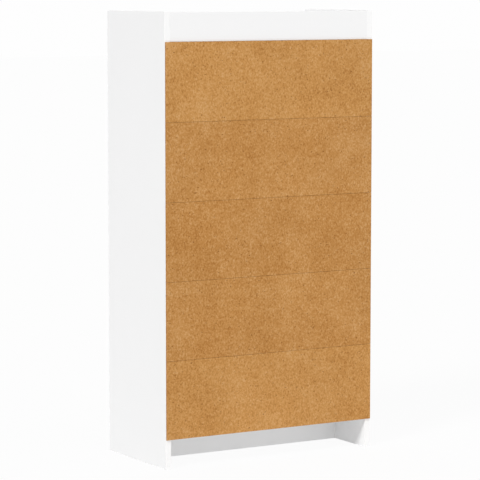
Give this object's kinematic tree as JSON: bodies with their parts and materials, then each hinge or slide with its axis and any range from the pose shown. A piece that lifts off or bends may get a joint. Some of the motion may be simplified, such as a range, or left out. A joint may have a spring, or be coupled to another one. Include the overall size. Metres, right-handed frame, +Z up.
{
  "type": "shoe cabinet",
  "caption": "Tall narrow white shoe cabinet with an open tray on top, inset pivoting doors, shelves and a strip-built hardboard back, standing on its side panels.",
  "frame": {"origin": "centre of the cabinet's footprint, on the floor, on the kick board's lower face", "axes": "+Z up, -Y towards the front with the doors, +Y towards the hardboard back, +X to the right as seen from the front"},
  "size_m": [0.6, 0.3243, 1.12],
  "materials": {
    "white_board": "chipboard with a white melamine face and edge band, satin",
    "hardboard": "bare brown hardboard with pressed fibres, matt",
    "zinc": "zinc-plated fittings, semi-bright",
    "steel": "brushed steel, satin",
    "nylon": "moulded off-white nylon",
    "beech": "bare beech dowel"
  },
  "bodies": {
    "cabinet": {"side_panel_left": "white_board", "side_panel_right": "white_board", "top_board": "white_board", "bottom_board": "white_board", "rear_rail": "white_board", "kick_board": "white_board", "shelf_1": "white_board", "shelf_2": "white_board", "shelf_3": "white_board", "shelf_4": "white_board", "back_strip_1": "hardboard", "back_strip_2": "hardboard", "back_strip_3": "hardboard", "back_strip_4": "hardboard", "back_strip_5": "hardboard", "shelf_1_pin_left_front": "zinc", "shelf_1_pin_left_rear": "zinc", "shelf_1_pin_right_front": "zinc", "shelf_1_pin_right_rear": "zinc", "shelf_2_pin_left_front": "zinc", "shelf_2_pin_left_rear": "zinc", "shelf_2_pin_right_front": "zinc", "shelf_2_pin_right_rear": "zinc", "shelf_3_pin_left_front": "zinc", "shelf_3_pin_left_rear": "zinc", "shelf_3_pin_right_front": "zinc", "shelf_3_pin_right_rear": "zinc", "shelf_4_pin_left_front": "zinc", "shelf_4_pin_left_rear": "zinc", "shelf_4_pin_right_front": "zinc", "shelf_4_pin_right_rear": "zinc", "cam_top_left_front": "zinc", "cam_top_left_rear": "zinc", "cam_top_right_front": "zinc", "cam_top_right_rear": "zinc", "cam_bottom_left_front": "zinc", "cam_bottom_left_rear": "zinc", "cam_bottom_right_front": "zinc", "cam_bottom_right_rear": "zinc", "rail_dowel_left": "beech", "rail_dowel_right": "beech", "kick_dowel_left": "beech", "kick_dowel_right": "beech", "pivot_pin_left_bottom": "steel", "pivot_pin_left_top": "steel", "pivot_pin_right_bottom": "steel", "pivot_pin_right_top": "steel", "catch_body": "nylon"},
    "door_left": {"door_left": "white_board", "bush_left_bottom": "nylon", "bush_left_top": "nylon", "knob_left": "steel", "knob_screw_left": "zinc", "strike_plate_left": "zinc"},
    "door_right": {"door_right": "white_board", "bush_right_bottom": "nylon", "bush_right_top": "nylon", "knob_right": "steel", "knob_screw_right": "zinc", "strike_plate_right": "zinc"}
  },
  "joints": [
    {"name": "door_left_hinge", "type": "hinge", "parent": "cabinet", "child": "door_left", "pos_m": [-0.272, -0.1425, 0.56], "axis": [0, 0, -1], "range_deg": [0, 115]},
    {"name": "door_right_hinge", "type": "hinge", "parent": "cabinet", "child": "door_right", "pos_m": [0.272, -0.1425, 0.56], "axis": [0, 0, 1], "range_deg": [0, 115]}
  ]
}
